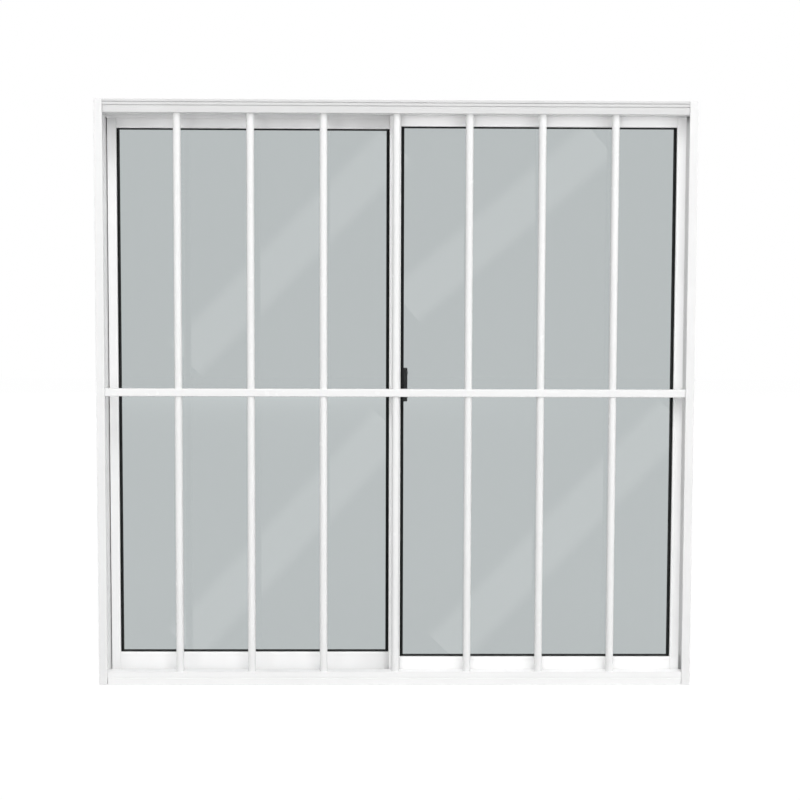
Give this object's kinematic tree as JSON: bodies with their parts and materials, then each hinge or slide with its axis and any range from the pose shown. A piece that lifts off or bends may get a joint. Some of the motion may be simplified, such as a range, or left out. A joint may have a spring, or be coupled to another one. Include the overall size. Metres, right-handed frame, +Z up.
{
  "type": "horizontal sliding window",
  "caption": "White aluminium sliding window: two glazed sashes on separate tracks behind a fixed grille of round vertical bars with one cross rail.",
  "frame": {"origin": "on the sill's underside, at the middle of its length and depth", "axes": "+X to the right seen from the grille side, +Y into the room, +Z up"},
  "size_m": [1, 0.0814, 0.98],
  "materials": {
    "frame_white": "white powder coat on extruded aluminium",
    "sash_white": "white powder coat on extruded aluminium",
    "grille_white": "white powder coat on drawn aluminium tube",
    "pane_glass": "plain float glass, lightly grey",
    "gasket_rubber": "black glazing rubber",
    "running_gear": "moulded nylon",
    "latch_finish": "dark grey moulded case"
  },
  "bodies": {
    "root": {"head_track": "frame_white", "sill_track": "frame_white", "left_jamb": "frame_white", "right_jamb": "frame_white", "grille_rail": "grille_white", "grille_bar_1": "grille_white", "grille_bar_2": "grille_white", "grille_bar_3": "grille_white", "grille_bar_4": "grille_white", "grille_bar_5": "grille_white", "grille_bar_6": "grille_white", "grille_bar_7": "grille_white", "right_sash_top_rail": "sash_white", "right_sash_bottom_rail": "sash_white", "right_sash_outer_stile": "sash_white", "right_sash_meeting_stile": "sash_white", "right_sash_glass": "pane_glass", "right_sash_gasket": "gasket_rubber", "right_sash_rollers": "running_gear", "right_sash_guides": "running_gear", "left_sash_top_rail": "sash_white", "left_sash_bottom_rail": "sash_white", "left_sash_outer_stile": "sash_white", "left_sash_meeting_stile": "sash_white", "left_sash_glass": "pane_glass", "left_sash_gasket": "gasket_rubber", "left_sash_rollers": "running_gear", "left_sash_guides": "running_gear", "latch_body": "latch_finish", "latch_lever": "latch_finish"}
  },
  "joints": []
}
